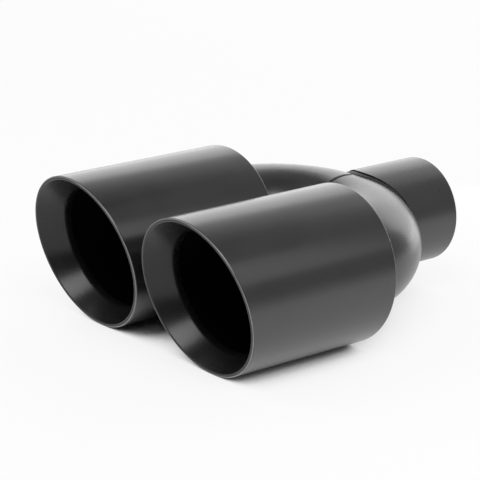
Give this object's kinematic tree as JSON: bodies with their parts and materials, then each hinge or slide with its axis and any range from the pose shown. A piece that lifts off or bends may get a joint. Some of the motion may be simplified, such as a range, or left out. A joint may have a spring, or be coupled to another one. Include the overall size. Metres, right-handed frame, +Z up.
{
  "type": "exhaust tip",
  "caption": "Exhaust tip with side-by-side slant-cut, lined round mouths on bent pipes that branch from a slip-on inlet, in satin black.",
  "frame": {"origin": "centre of the inlet pipe's open end", "axes": "+Y along the inlet pipe's axis, out of its open end, with the mouths facing -Y; +Z up from the surface that the sleeves lie on; +X towards the right tip"},
  "size_m": [0.2094, 0.2496, 0.1],
  "materials": {
    "sleeve_coating": "satin black baked coating on steel",
    "liner_coating": "satin black baked coating on steel",
    "pipe_coating": "satin black baked coating on bent pipe",
    "weld_coating": "matt black coating over rippled weld metal"
  },
  "bodies": {
    "root": {"right_outer_sleeve": "sleeve_coating", "left_outer_sleeve": "sleeve_coating", "right_mouth_liner": "liner_coating", "left_mouth_liner": "liner_coating", "right_back_plate": "pipe_coating", "left_back_plate": "pipe_coating", "right_elbow": "pipe_coating", "left_elbow": "pipe_coating", "inlet_pipe": "pipe_coating", "elbow_seam_weld": "weld_coating", "inlet_weld": "weld_coating", "right_pipe_weld": "weld_coating", "left_pipe_weld": "weld_coating", "right_plate_weld": "weld_coating", "left_plate_weld": "weld_coating"}
  },
  "joints": []
}
